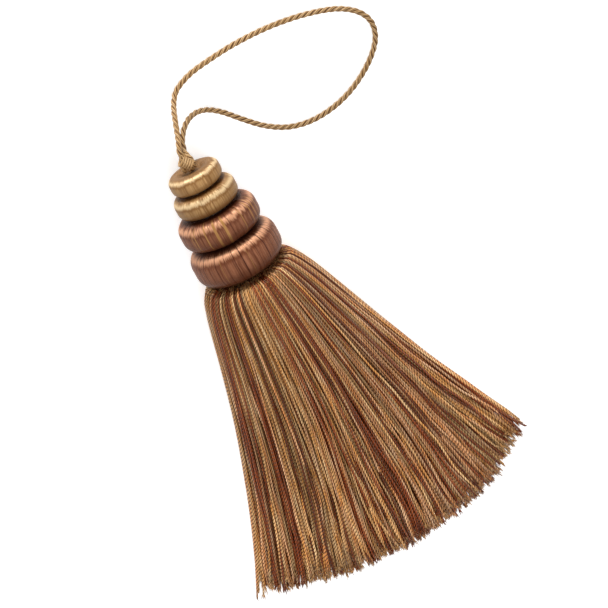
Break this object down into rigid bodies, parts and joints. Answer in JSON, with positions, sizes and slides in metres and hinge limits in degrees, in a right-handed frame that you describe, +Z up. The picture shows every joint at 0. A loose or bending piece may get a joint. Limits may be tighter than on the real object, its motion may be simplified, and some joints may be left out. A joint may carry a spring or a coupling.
{
  "type": "key tassel",
  "caption": "Key tassel with a knotted twisted-cord hanging loop, a head of graduated thread-wound rings and a flared skirt of yarn, lying on its side.",
  "frame": {"origin": "middle of the flat spot where the widest ring rests on the surface", "axes": "+Y along the tassel's axis from the skirt towards the hanging loop, +Z up from the surface, +X to the right"},
  "size_m": [0.1297, 0.1979, 0.0325],
  "materials": {
    "gold_cord": "twisted rayon cord, satin sheen",
    "gold_floss": "wound rayon floss, satin sheen",
    "brown_floss": "wound rayon floss, satin sheen",
    "skirt_yarn": "mixed gold, tan and red-brown twisted rayon yarn"
  },
  "bodies": {
    "root": {"hanging_loop": "gold_cord", "loop_knot": "gold_cord", "upper_gold_ring": "gold_floss", "lower_gold_ring": "gold_floss", "upper_brown_ring": "brown_floss", "lower_brown_ring": "brown_floss", "skirt": "skirt_yarn"}
  },
  "joints": []
}
